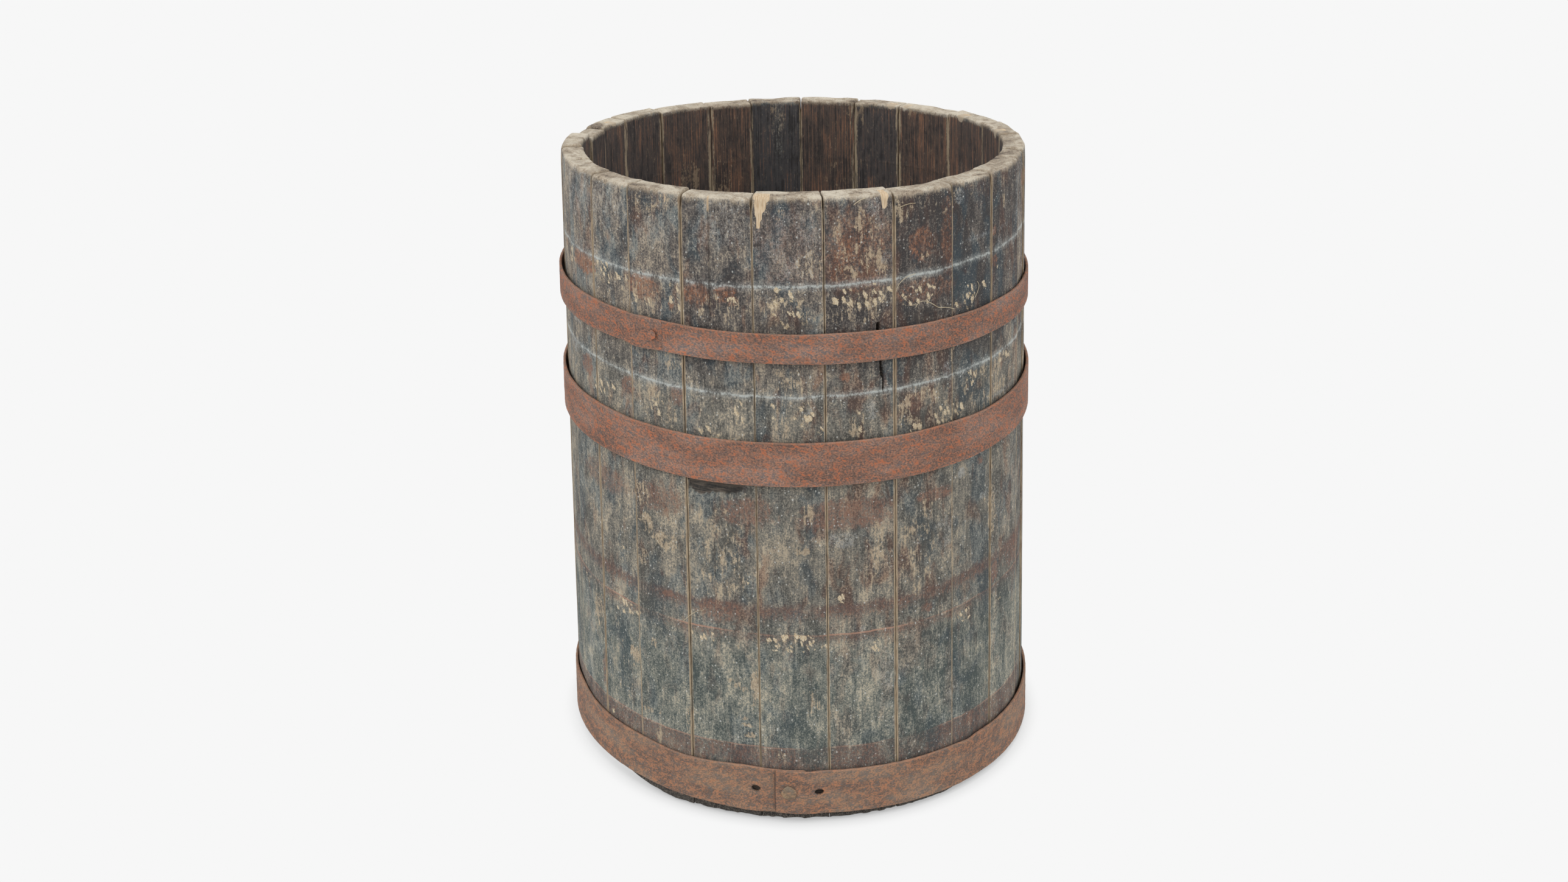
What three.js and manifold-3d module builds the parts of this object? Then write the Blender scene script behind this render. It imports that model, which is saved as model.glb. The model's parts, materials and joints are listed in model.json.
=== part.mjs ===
// An open-topped oak wine vat: a tapered ring of staves, a dowelled bottom head, and three iron hoops
// whose riveted ends overlap. Each hoop grips the taper and can be driven up or down it.
//
// Units are millimetres and +Z is up. The origin is the centre of the circle of stave ends that the
// vat stands on. Angles are in degrees from +X towards +Y.

import * as THREE from "three";
import { mergeVertices } from "three/addons/utils/BufferGeometryUtils.js";
import Module from "manifold-3d";

// ---- Driving dimensions ----

// The wall: a cone, narrower at the rim, that has leant a little with age.
const HEIGHT = 799;
const BASE_RADIUS = 311;
const RIM_RADIUS = 290;
const WALL = 28;
const LEAN = -0.0157; // sideways shift along X for each millimetre of height
const RIM_SLOPE = { x: 0.012, y: -0.027 }; // the worn rim stands highest at -Y

// Each stave, in order round the wall: its width in degrees, how much thicker than WALL it is, how far
// its outer face sits inside the cone, and how far its top stands above the sloping rim.
const FIRST_SEAM = 214.5;
const STAVES = [
  [14, 0.5, 0.8, 0],
  [15, -0.5, 0, 0.5],
  [17, 0.5, 1, -1.5],
  [16, 0, 0.3, 0.5],
  [16.5, 1, 0.8, 0],
  [16, -0.5, 0, -2],
  [14.5, 0, 1, -1.5],
  [16.5, 1, 0.2, -0.5],
  [8, -1, 1.6, 0],
  [16, 0.5, 0, 1.5],
  [15.5, 0, 0.9, 3],
  [18, 1, 0.2, 1.5],
  [19, -0.5, 1.1, -0.5],
  [14.5, 1.5, 0, -0.5],
  [16.5, 0, 1.2, 0],
  [15, -1, 0.3, -0.5],
  [13, 1.5, 0.9, -1],
  [17, 2, 0, 0.5],
  [15, -1, 0.8, 3],
  [12, 0.5, 0.2, 1.5],
  [10.5, 1, 1.3, -1],
  [15, -0.5, 0, 4.5],
  [15, 1, 1, 2.5],
  [14.5, 0, 0.4, 1.5],
];
const SEAM = 0.08; // degrees left open between two staves, about 0.4 mm
const STAVE_ARC_STEPS = 4;

// The stave ends and the croze, the groove inside the chime that holds the head.
const END_ROUNDING = 3; // depth of the worn edges at both ends
const END_ROUNDING_HEIGHT = 5;
const CHIME_BEVEL = 9; // how much the inside of the lower end is cut back
const CHIME_BEVEL_HEIGHT = 24;
const CROZE = { bottom: 41.5, top: 50.5, slope: 1.5, fromOutside: 22 };

// The bottom head: boards side by side, edge-dowelled, with a bevelled rim that fits the croze.
const HEAD = { bottom: 35, top: 59, radius: 287, flatRadius: 266, bevelRadius: 280 };
const TONGUE = { bottom: 43.6, top: 48.4, bevelBottom: 42.4, bevelTop: 49.6 };
const BOARD_JOINTS = [-165, -52, 58, 172]; // places of the joints, measured across the boards
const BOARD_TURN = 24; // degrees from +X to the direction that the boards run in
const BOARD_GAP = 0.4;
const DOWEL = { radius: 4, length: 50, clearance: 0.3, sides: 10, alongBoard: [-105, 95] };

// The hoops: flat iron strips whose thinned ends overlap. clearance is the room between the cone and
// the inside of the strip, and shift is how far the loose hoop hangs over along X. visibleEnd is where
// the outer end stops, and winding is +1 where that end comes from smaller angles, -1 from larger ones.
const STRIP = 3.3;
const LAP_STRIP = 2.6; // thickness of each end in the lap
const LAP_GAP = 0.4;
const RING_STEPS = 96;
const LAP_STEPS = 2;
const HOOPS = [
  {
    name: "upper_hoop",
    middle: 631,
    width: 37,
    slope: { x: -0.0075, y: 0.003 },
    clearance: 2.3,
    shift: -0.95,
    visibleEnd: 238.9,
    winding: 1,
    rivetFromEnd: 2.4,
    rivetHead: 6,
    nailHoles: [],
  },
  {
    name: "middle_hoop",
    middle: 493.5,
    width: 55,
    slope: { x: 0, y: 0.021 },
    clearance: 2.6,
    shift: 0.1,
    visibleEnd: 78,
    winding: 1,
    rivetFromEnd: 3.3,
    rivetHead: 8,
    nailHoles: [],
  },
  {
    name: "bottom_hoop",
    middle: 43,
    width: 61,
    slope: { x: -0.0195, y: -0.001 },
    clearance: 1.3,
    shift: 0.9,
    visibleEnd: 263.6,
    winding: -1,
    rivetFromEnd: 3.3,
    rivetHead: 10,
    nailHoles: [
      [259.2, 46],
      [273.8, 44],
    ],
  },
];
const RIVET = { shank: 4, dome: 3, countersink: 2, countersinkHeight: 1.8, clearance: 0.3, sides: 16 };
const NAIL_HOLE = { width: 9, height: 6.4, sides: 14 };

// ---- Materials ----

const STAVE_OAK = new THREE.MeshStandardMaterial({ color: 0x5f5c54, roughness: 0.85, metalness: 0 });
const HEAD_OAK = new THREE.MeshStandardMaterial({ color: 0x3f342b, roughness: 0.85, metalness: 0 });
const DOWEL_OAK = new THREE.MeshStandardMaterial({ color: 0x9c7a4f, roughness: 0.8, metalness: 0 });
const RUSTED_IRON = new THREE.MeshStandardMaterial({ color: 0x8c5a45, roughness: 0.9, metalness: 0.2 });

// ---- Geometry tools ----

const radians = THREE.MathUtils.degToRad;

// The point at an angle in radians and a height, depth millimetres inside the cone's surface.
function wallPoint(angle, height, depth) {
  const radius = BASE_RADIUS + ((RIM_RADIUS - BASE_RADIUS) * height) / HEIGHT - depth;
  return new THREE.Vector3(radius * Math.cos(angle) + LEAN * height, radius * Math.sin(angle), height);
}

// Moves every vertex of a geometry to the place that the function gives for it.
function reshaped(geometry, placeOf) {
  const position = geometry.getAttribute("position");
  const vertex = new THREE.Vector3();
  for (let i = 0; i < position.count; i += 1) {
    vertex.fromBufferAttribute(position, i);
    const place = placeOf(vertex);
    position.setXYZ(i, place.x, place.y, place.z);
  }
  geometry.computeVertexNormals();
  return geometry;
}

const wasm = await Module();
wasm.setup();

function solid(geometry) {
  const bare = new THREE.BufferGeometry();
  const flat = geometry.index ? geometry.toNonIndexed() : geometry;
  bare.setAttribute("position", flat.getAttribute("position"));
  const merged = mergeVertices(bare, 1e-3);
  return new wasm.Manifold(
    new wasm.Mesh({
      numProp: 3,
      vertProperties: merged.getAttribute("position").array,
      triVerts: new Uint32Array(merged.index.array),
    }),
  );
}

function geometryOf(manifold) {
  const mesh = manifold.getMesh();
  const geometry = new THREE.BufferGeometry();
  geometry.setAttribute("position", new THREE.BufferAttribute(mesh.vertProperties, 3));
  geometry.setIndex(new THREE.BufferAttribute(mesh.triVerts, 1));
  geometry.computeVertexNormals();
  return geometry;
}

function named(name, geometry, material) {
  const mesh = new THREE.Mesh(geometry, material);
  mesh.name = name;
  return mesh;
}

// Turns a geometry made along +Y so that it points straight out of the wall at an angle and height,
// starting depth millimetres inside the cone's surface.
function facingOut(geometry, angle, height, depth) {
  const out = new THREE.Vector3(Math.cos(angle), Math.sin(angle), 0);
  const turn = new THREE.Quaternion().setFromUnitVectors(new THREE.Vector3(0, 1, 0), out);
  geometry.applyQuaternion(turn);
  const place = wallPoint(angle, height, depth);
  return geometry.translate(place.x, place.y, place.z);
}

// ---- Staves ----

// The levels of a stave from its lower end up. Each gives its height, what is cut off the outer face,
// and either what is cut off the inner face or, in the croze, its depth from the cone.
const BEVEL_AT_ROUNDING = CHIME_BEVEL * (1 - END_ROUNDING_HEIGHT / CHIME_BEVEL_HEIGHT);
const LEVELS = [
  { height: 0, outer: END_ROUNDING, inner: CHIME_BEVEL },
  { height: END_ROUNDING_HEIGHT, outer: 0, inner: BEVEL_AT_ROUNDING },
  { height: CHIME_BEVEL_HEIGHT, outer: 0, inner: 0 },
  { height: CROZE.bottom, outer: 0, inner: 0 },
  { height: CROZE.bottom + CROZE.slope, outer: 0, grooveDepth: CROZE.fromOutside },
  { height: CROZE.top - CROZE.slope, outer: 0, grooveDepth: CROZE.fromOutside },
  { height: CROZE.top, outer: 0, inner: 0 },
  { height: HEIGHT - END_ROUNDING_HEIGHT, outer: 0, inner: 0, atRim: true },
  { height: HEIGHT, outer: END_ROUNDING, inner: END_ROUNDING, atRim: true },
];

// A sector of the wall in plan, swept up through the levels.
function staveGeometry(firstEdge, lastEdge, thicker, setIn, taller) {
  const plan = new THREE.Shape();
  plan.absarc(0, 0, BASE_RADIUS, firstEdge, lastEdge, false);
  plan.absarc(0, 0, BASE_RADIUS - WALL, lastEdge, firstEdge, true);
  const steps = LEVELS.length - 1;
  const blank = new THREE.ExtrudeGeometry(plan, {
    depth: steps,
    steps,
    bevelEnabled: false,
    curveSegments: STAVE_ARC_STEPS / 2,
  });
  return reshaped(blank, (vertex) => {
    const level = LEVELS[Math.round(vertex.z)];
    const angle = Math.atan2(vertex.y, vertex.x);
    const onOutside = Math.hypot(vertex.x, vertex.y) > BASE_RADIUS - WALL / 2;
    let depth = setIn + level.outer;
    if (!onOutside) {
      depth = level.grooveDepth ?? setIn + WALL + thicker - level.inner;
    }
    let height = level.height;
    if (level.atRim) {
      height += taller + RIM_RADIUS * (RIM_SLOPE.x * Math.cos(angle) + RIM_SLOPE.y * Math.sin(angle));
    }
    return wallPoint(angle, height, depth);
  });
}

function makeStaves() {
  const staves = new THREE.Group();
  let seam = FIRST_SEAM;
  STAVES.forEach(([width, thicker, setIn, taller], index) => {
    const firstEdge = radians(seam + SEAM / 2);
    const lastEdge = radians(seam + width - SEAM / 2);
    const geometry = staveGeometry(firstEdge, lastEdge, thicker, setIn, taller);
    staves.add(named(`stave_${String(index + 1).padStart(2, "0")}`, geometry, STAVE_OAK));
    seam += width;
  });
  return staves;
}

// ---- Bottom head ----

function headDisc() {
  const profile = [
    [0, HEAD.bottom],
    [HEAD.flatRadius, HEAD.bottom],
    [HEAD.bevelRadius, TONGUE.bevelBottom],
    [HEAD.radius, TONGUE.bottom],
    [HEAD.radius, TONGUE.top],
    [HEAD.bevelRadius, TONGUE.bevelTop],
    [HEAD.flatRadius, HEAD.top],
    [0, HEAD.top],
  ].map(([radius, height]) => new THREE.Vector2(radius, height));
  const disc = new THREE.LatheGeometry(profile, RING_STEPS);
  return disc.rotateX(Math.PI / 2);
}

// A dowel, or the hole for it, lying across the boards at a joint.
function dowelGeometry(radius, length, acrossBoards, alongBoard) {
  const cylinder = new THREE.CylinderGeometry(radius, radius, length, DOWEL.sides);
  return cylinder.translate(alongBoard, acrossBoards, (HEAD.bottom + HEAD.top) / 2);
}

// The boards lie along X while they are made. The group then turns them and sets them in the croze.
function makeHead() {
  const head = new THREE.Group();
  const disc = solid(headDisc());
  const edges = [-HEAD.radius - 1, ...BOARD_JOINTS, HEAD.radius + 1];
  const joints = BOARD_JOINTS.flatMap((across) => DOWEL.alongBoard.map((along) => [across, along]));
  const holes = joints.map(([across, along]) =>
    solid(dowelGeometry(DOWEL.radius + DOWEL.clearance, DOWEL.length + 1, across, along)),
  );
  for (let board = 0; board < edges.length - 1; board += 1) {
    const width = edges[board + 1] - edges[board] - BOARD_GAP;
    const strip = new THREE.BoxGeometry(3 * HEAD.radius, width, 3 * HEAD.top);
    strip.translate(0, (edges[board] + edges[board + 1]) / 2, 0);
    let piece = disc.intersect(solid(strip));
    for (const hole of holes) {
      piece = piece.subtract(hole);
    }
    head.add(named(`head_board_${board + 1}`, geometryOf(piece), HEAD_OAK));
  }
  joints.forEach(([across, along], index) => {
    const geometry = dowelGeometry(DOWEL.radius, DOWEL.length, across, along);
    head.add(named(`head_dowel_${index + 1}`, geometry, DOWEL_OAK));
  });
  head.rotation.z = radians(BOARD_TURN);
  head.position.x = (LEAN * (HEAD.bottom + HEAD.top)) / 2;
  return head;
}

// ---- Hoops ----

// A flat strip wound once round the wall. Its outer end steps out over its inner end.
function stripGeometry(hoop) {
  const step = (2 * Math.PI) / RING_STEPS;
  const start = radians(hoop.visibleEnd) - hoop.winding * LAP_STEPS * step;
  const inside = [];
  const outside = [];
  for (let i = 0; i <= RING_STEPS + LAP_STEPS; i += 1) {
    const angle = start + hoop.winding * i * step;
    const onInnerEnd = i <= LAP_STEPS;
    const onOuterEnd = i >= RING_STEPS;
    const radius = BASE_RADIUS + hoop.clearance + (onOuterEnd ? LAP_STRIP + LAP_GAP : 0);
    const thickness = onInnerEnd || onOuterEnd ? LAP_STRIP : STRIP;
    const direction = new THREE.Vector2(Math.cos(angle), Math.sin(angle));
    inside.push(direction.clone().multiplyScalar(radius));
    outside.push(direction.clone().multiplyScalar(radius + thickness));
  }
  const plan = new THREE.Shape([...outside, ...inside.reverse()]);
  const band = new THREE.ExtrudeGeometry(plan, { depth: 1, bevelEnabled: false });
  return reshaped(band, (vertex) => {
    const angle = Math.atan2(vertex.y, vertex.x);
    const proud = Math.hypot(vertex.x, vertex.y) - BASE_RADIUS;
    const place = wallPoint(angle, hoopHeight(hoop, angle, vertex.z - 0.5), -proud);
    place.x += hoop.shift;
    return place;
  });
}

// The height of a point of a sloping hoop; across runs from -0.5 at its lower edge to 0.5 at its upper.
function hoopHeight(hoop, angle, across) {
  const x = BASE_RADIUS * Math.cos(angle);
  const y = BASE_RADIUS * Math.sin(angle);
  return hoop.middle + across * hoop.width + hoop.slope.x * x + hoop.slope.y * y;
}

// A rivet through both layers: a domed head outside and a countersunk end flush with the inside.
// larger widens it on all sides, for the hole.
function rivetGeometry(hoop, larger) {
  const stack = 2 * LAP_STRIP + LAP_GAP;
  const profile = [
    [0, -larger],
    [RIVET.shank + RIVET.countersink + larger, -larger],
    [RIVET.shank + larger, RIVET.countersinkHeight],
    [RIVET.shank + larger, stack + RIVET.clearance],
    [hoop.rivetHead + larger, stack + RIVET.clearance],
    [hoop.rivetHead * 0.86 + larger, stack + RIVET.clearance + RIVET.dome * 0.55],
    [hoop.rivetHead * 0.5 + larger, stack + RIVET.clearance + RIVET.dome * 0.9],
    [0, stack + RIVET.clearance + RIVET.dome + larger],
  ].map(([radius, along]) => new THREE.Vector2(radius, along));
  const lathe = new THREE.LatheGeometry(profile, RIVET.sides);
  const angle = radians(hoop.visibleEnd - hoop.winding * hoop.rivetFromEnd);
  facingOut(lathe, angle, hoopHeight(hoop, angle, 0), -hoop.clearance);
  return lathe.translate(hoop.shift, 0, 0);
}

function nailHoleGeometry(angle, height) {
  const radius = NAIL_HOLE.width / 2;
  const hole = new THREE.CylinderGeometry(radius, radius, 6 * STRIP, NAIL_HOLE.sides);
  hole.rotateY(Math.PI / NAIL_HOLE.sides);
  hole.scale(1, 1, NAIL_HOLE.height / NAIL_HOLE.width);
  return facingOut(hole, angle, height, 0);
}

function makeHoop(hoop) {
  const group = new THREE.Group();
  let strip = solid(stripGeometry(hoop)).subtract(solid(rivetGeometry(hoop, RIVET.clearance)));
  for (const [angle, height] of hoop.nailHoles) {
    strip = strip.subtract(solid(nailHoleGeometry(radians(angle), height)));
  }
  group.add(named(hoop.name, geometryOf(strip), RUSTED_IRON));
  group.add(named(`${hoop.name}_rivet`, rivetGeometry(hoop, 0), RUSTED_IRON));
  return group;
}

// ---- The vat ----

const vat = new THREE.Group();
vat.add(makeStaves());
vat.add(makeHead());
for (const hoop of HOOPS) {
  vat.add(makeHoop(hoop));
}

export default vat;
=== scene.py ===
"""The looks of the old oak vat: worn staves, a bottom head and three rusted hoops around the CAD frame.

Every stave and hoop is built as a grid in a chart of its own (along, into and up the piece, in
millimetres), worn there, and then bent round the wall. What wear there is and where, and where shade is
painted, is written into mesh attributes, and the materials turn those into dirt, scuffs, chalk lines, rust
and painted shade in holes and hollows.
Angles are in degrees from +X towards +Y, and heights are in millimetres above the floor.
"""

import json
import math

import bmesh
import bpy
import numpy as np
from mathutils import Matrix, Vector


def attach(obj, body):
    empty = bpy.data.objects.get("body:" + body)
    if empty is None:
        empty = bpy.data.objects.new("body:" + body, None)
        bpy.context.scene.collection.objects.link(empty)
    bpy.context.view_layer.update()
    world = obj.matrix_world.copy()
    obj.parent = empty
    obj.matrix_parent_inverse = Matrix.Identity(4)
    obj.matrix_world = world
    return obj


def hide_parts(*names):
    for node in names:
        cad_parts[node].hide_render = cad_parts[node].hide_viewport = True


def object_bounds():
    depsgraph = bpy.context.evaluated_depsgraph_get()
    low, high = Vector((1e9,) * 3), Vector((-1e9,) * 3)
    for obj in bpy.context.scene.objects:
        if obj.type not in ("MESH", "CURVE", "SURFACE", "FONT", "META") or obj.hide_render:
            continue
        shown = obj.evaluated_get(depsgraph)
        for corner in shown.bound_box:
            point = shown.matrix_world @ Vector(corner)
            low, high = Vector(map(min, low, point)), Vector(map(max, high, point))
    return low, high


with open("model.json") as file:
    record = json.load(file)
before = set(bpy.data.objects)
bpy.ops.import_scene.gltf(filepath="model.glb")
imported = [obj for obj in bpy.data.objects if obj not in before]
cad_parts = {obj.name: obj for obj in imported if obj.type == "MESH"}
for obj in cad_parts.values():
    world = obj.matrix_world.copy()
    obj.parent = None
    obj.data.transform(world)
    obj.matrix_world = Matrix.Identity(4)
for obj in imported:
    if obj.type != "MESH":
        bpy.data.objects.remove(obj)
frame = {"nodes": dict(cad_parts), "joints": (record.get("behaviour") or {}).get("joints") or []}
cad_low, cad_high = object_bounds()
nodes = frame["nodes"]

MM = 0.001
MEAN_RADIUS = 300.0  # turns an angle round the wall into an arc length
PER_DEGREE = math.radians(MEAN_RADIUS)  # the arc length of one degree
EDGE_RADIUS = 0.305  # in metres, where the planes of a hoop's edges are taken
slide_axis = frame["joints"][0]["axis"]
LEAN = slide_axis[0] / slide_axis[2]
WALL_TOP = cad_high.z / MM


# ---- Camera, light and floor ----

BACKGROUND = 0.93  # the brightness of the pale surroundings
CAMERA_PLACE = (-0.0218, -2.334, 1.3776)
CAMERA_LENS = 43.456
CAMERA_DIP = 22.93  # how far it looks down, in degrees
CAMERA_TURN = 0.04
FLOOR_SIZE = 60
FLOOR_GAP = 0.0005  # keeps the floor just below the foot
SHADOW_REACH = 0.042
SHADOW_DEEPEST = 0.42


def make_camera():
    data = bpy.data.cameras.new("camera")
    data.lens = CAMERA_LENS
    data.sensor_width = 36
    camera = bpy.data.objects.new("camera", data)
    camera.location = CAMERA_PLACE
    camera.rotation_euler = (math.radians(90 - CAMERA_DIP), 0, math.radians(CAMERA_TURN))
    bpy.context.scene.collection.objects.link(camera)
    bpy.context.scene.camera = camera


def make_sun(name, azimuth, elevation, strength, softness):
    data = bpy.data.lights.new(name, "SUN")
    data.energy = strength
    data.angle = math.radians(softness)
    sun = bpy.data.objects.new(name, data)
    sun.rotation_euler = (math.radians(90 - elevation), 0, math.radians(azimuth))
    bpy.context.scene.collection.objects.link(sun)


def make_world():
    world = bpy.data.worlds.new("studio")
    world.use_nodes = True
    surroundings = world.node_tree.nodes["Background"]
    surroundings.inputs["Color"].default_value = (BACKGROUND, BACKGROUND, BACKGROUND, 1)
    bpy.context.scene.world = world
    bpy.context.scene.view_settings.view_transform = "Standard"


# ---- Materials: a small language for node trees ----


class Field:
    """A number or colour that a node gives at each point of a surface. Arithmetic on it adds nodes."""

    def __init__(self, tree, socket):
        self.tree = tree
        self.socket = socket

    def math(self, operation, *others):
        node = self.tree.nodes.new("ShaderNodeMath")
        node.operation = operation
        for place, value in enumerate((self, *others)):
            put(self.tree, node.inputs[place], value)
        return Field(self.tree, node.outputs[0])

    def __add__(self, other):
        return self.math("ADD", other)

    def __sub__(self, other):
        return self.math("SUBTRACT", other)

    def __mul__(self, other):
        return self.math("MULTIPLY", other)

    __radd__ = __add__
    __rmul__ = __mul__

    def ramp(self, low, high, to_low=0.0, to_high=1.0):
        """A smooth step from to_low, where this is low, to to_high, where it is high."""
        node = self.tree.nodes.new("ShaderNodeMapRange")
        node.interpolation_type = "SMOOTHSTEP"
        for place, value in enumerate((self, low, high, to_low, to_high)):
            put(self.tree, node.inputs[place], value)
        return Field(self.tree, node.outputs[0])

    def parts(self):
        node = self.tree.nodes.new("ShaderNodeSeparateXYZ")
        put(self.tree, node.inputs[0], self)
        return [Field(self.tree, output) for output in node.outputs]


def put(tree, socket, value):
    if isinstance(value, Field):
        tree.links.new(value.socket, socket)
    else:
        socket.default_value = value


STUDIO_LIGHT = 1.27  # how bright a white wall of the vat looks in this light


def seen(red, green, blue):
    """The surface colour that looks like this screen colour, 0 to 255, in the studio's light."""
    linear = [((c / 255 + 0.055) / 1.055) ** 2.4 / STUDIO_LIGHT for c in (red, green, blue)]
    return (*linear, 1.0)


def swaying(**noises):
    """Gives a function that adds up these noises, each taken about zero and times its own weight."""

    def sway(**weights):
        parts = [(noises[name] - 0.5) * weight for name, weight in weights.items()]
        return sum(parts[1:], parts[0])

    return sway


class Paint:
    """A material in the making. Each method adds nodes and returns what they give as a Field."""

    def __init__(self, name):
        self.material = bpy.data.materials.new(name)
        self.material.use_nodes = True
        self.tree = self.material.node_tree

    def attribute(self, name):
        node = self.tree.nodes.new("ShaderNodeAttribute")
        node.attribute_name = name
        return Field(self.tree, node.outputs["Vector"])

    def vector(self, x, y, z):
        node = self.tree.nodes.new("ShaderNodeCombineXYZ")
        for place, value in enumerate((x, y, z)):
            put(self.tree, node.inputs[place], value)
        return Field(self.tree, node.outputs[0])

    def noise(self, place, size, detail=3.0, rough=0.55, twist=0.0):
        """Cloudy noise round 0.5. size holds the lumps' extent along each axis in millimetres."""
        node = self.tree.nodes.new("ShaderNodeTexNoise")
        put(self.tree, node.inputs["Vector"], self.scaled(place, size))
        node.inputs["Scale"].default_value = 1
        node.inputs["Detail"].default_value = detail
        node.inputs["Roughness"].default_value = rough
        node.inputs["Distortion"].default_value = twist
        return Field(self.tree, node.outputs["Fac"])

    def scaled(self, place, size):
        node = self.tree.nodes.new("ShaderNodeVectorMath")
        node.operation = "DIVIDE"
        put(self.tree, node.inputs[0], place)
        node.inputs[1].default_value = [length * MM for length in size]
        return Field(self.tree, node.outputs[0])

    def cells(self, place, size):
        """Scattered cells: the distance from the nearest one's centre, and a random number for each."""
        node = self.tree.nodes.new("ShaderNodeTexVoronoi")
        put(self.tree, node.inputs["Vector"], self.scaled(place, size))
        node.inputs["Scale"].default_value = 1
        distance = Field(self.tree, node.outputs["Distance"])
        return distance, Field(self.tree, node.outputs["Color"]).parts()[0]

    def mix(self, factor, first, second):
        """Fades from the first colour to the second. A plain one is given as it is seen on a screen."""
        node = self.tree.nodes.new("ShaderNodeMix")
        node.data_type = "RGBA"
        put(self.tree, node.inputs["Factor"], factor)
        for place, colour in ((6, first), (7, second)):
            put(self.tree, node.inputs[place], colour if isinstance(colour, Field) else seen(*colour))
        return Field(self.tree, node.outputs[2])

    def finish(self, colour, roughness, relief):
        """Wires the shader. relief is a height in millimetres."""
        shader = self.tree.nodes["Principled BSDF"]
        bump = self.tree.nodes.new("ShaderNodeBump")
        bump.inputs["Distance"].default_value = MM
        put(self.tree, bump.inputs["Height"], relief)
        self.tree.links.new(bump.outputs[0], shader.inputs["Normal"])
        put(self.tree, shader.inputs["Base Color"], colour)
        put(self.tree, shader.inputs["Roughness"], roughness)
        shader.inputs["Specular IOR Level"].default_value = 0.25
        return self.material


# ---- Numpy helpers ----

TABLE_SIZE = 32
NOISE_TABLE = np.random.default_rng(5).random((TABLE_SIZE, TABLE_SIZE, TABLE_SIZE))


def noise(points, size, seed):
    """Smooth noise from -1 to 1 at points in millimetres; size is the extent of its lumps."""
    place = points / np.asarray(size, float) + 7.31 * seed
    cell = np.floor(place).astype(int)
    part = place - cell
    part = part * part * (3 - 2 * part)
    total = np.zeros(len(points))
    for corner in np.ndindex(2, 2, 2):
        weight = np.prod(np.where(corner, part, 1 - part), axis=1)
        i, j, k = ((cell + corner) % TABLE_SIZE).T
        total += weight * NOISE_TABLE[i, j, k]
    return 2 * total - 1


def smooth(value, low, high):
    """A smooth step from 0 at low to 1 at high."""
    part = np.clip((value - low) / (high - low), 0, 1)
    return part * part * (3 - 2 * part)


def turned_from(angle, start):
    """The angle as a turn from start, between -180 and 180."""
    return (angle - start + 180) % 360 - 180


def spaced(length, pitch, fine):
    """Places from 0 to length whose steps grow from fine at both ends to pitch."""
    steps = []
    step = fine
    while sum(steps) + step < length / 2:
        steps.append(step)
        step = min(step * 1.4, pitch)
    places = np.cumsum([0, *steps])
    return np.unique(np.concatenate([places, length - places]))


def without_close(places, least):
    """The places in order, leaving out any that is closer than least to the one before it."""
    kept = [min(places)]
    for place in sorted(places):
        if place - kept[-1] >= least:
            kept.append(place)
    kept[-1] = max(places)
    return np.array(kept)


def grid_mesh(columns, layers, rows, kept):
    """The outside of a solid grid: its points in millimetres, and its faces.

    kept says which of the grid's cells are there.
    """
    shape = (len(columns), len(layers), len(rows))
    number = np.arange(math.prod(shape)).reshape(shape)
    padded = np.pad(kept, 1)
    faces = []
    for axis in range(3):
        before = np.moveaxis(padded, axis, 0)[:-1, 1:-1, 1:-1]
        after = np.moveaxis(padded, axis, 0)[1:, 1:-1, 1:-1]
        corner = np.moveaxis(number, axis, 0)
        for solid_side, facing in ((before & ~after, 1), (after & ~before, -1)):
            i, j, k = np.nonzero(solid_side)
            loop = [corner[i, j, k], corner[i, j + 1, k], corner[i, j + 1, k + 1], corner[i, j, k + 1]]
            if facing * (1, -1, 1)[axis] < 0:
                loop.reverse()
            faces.append(np.stack(loop, axis=1))
    faces = np.concatenate(faces)
    used, faces = np.unique(faces, return_inverse=True)
    grid = np.stack(np.meshgrid(columns, layers, rows, indexing="ij"), axis=-1).reshape(-1, 3)
    return grid[used], faces.reshape(-1, 4)


def make_object(name, points, faces, attributes, material):
    """A mesh object from points in metres, four-sided faces and per-point attributes."""
    mesh = bpy.data.meshes.new(name)
    mesh.vertices.add(len(points))
    mesh.vertices.foreach_set("co", points.astype(np.float32).ravel())
    mesh.loops.add(faces.size)
    mesh.loops.foreach_set("vertex_index", faces.astype(np.int32).ravel())
    mesh.polygons.add(len(faces))
    mesh.polygons.foreach_set("loop_start", np.arange(0, faces.size, 4, dtype=np.int32))
    mesh.update(calc_edges=True)
    mesh.validate()
    return dressed(name, mesh, attributes, material)


def dressed(name, mesh, attributes, material):
    """A smooth object of the mesh, with its per-point attributes and its material."""
    mesh.polygons.foreach_set("use_smooth", np.ones(len(mesh.polygons), bool))
    for title, values in attributes.items():
        layer = mesh.attributes.new(title, "FLOAT_VECTOR", "POINT")
        layer.data.foreach_set("vector", values.astype(np.float32).ravel())
    mesh.materials.append(material)
    piece = bpy.data.objects.new(name, mesh)
    bpy.context.scene.collection.objects.link(piece)
    return piece


def rounded(points, size, radius):
    """Rounds the edges of a box of points. radius may differ along each axis and at each point."""
    radius = np.broadcast_to(radius, points.shape)
    core = np.clip(points, radius, np.asarray(size) - radius)
    away = (points - core) / radius
    largest = np.abs(away).max(axis=1)
    length = np.linalg.norm(away, axis=1)
    shrink = np.divide(largest, length, out=np.ones_like(length), where=length > 1e-6)
    outward = away / np.maximum(length, 1e-6)[:, None]
    outward *= (smooth(largest, 0.6, 1))[:, None]
    return core + away * shrink[:, None] * radius, outward


def on_cone(points):
    """Angle in degrees, radius and height in millimetres about the leaning axis, of points in metres."""
    x, y, height = points.T / MM
    x = x - LEAN * height
    return np.degrees(np.arctan2(y, x)), np.hypot(x, y), height


def from_cone(angle, radius, height):
    """Points in metres, the other way round."""
    turn = np.radians(angle)
    x = radius * np.cos(turn) + LEAN * height
    return np.stack([x, radius * np.sin(turn), height], axis=1) * MM


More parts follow.
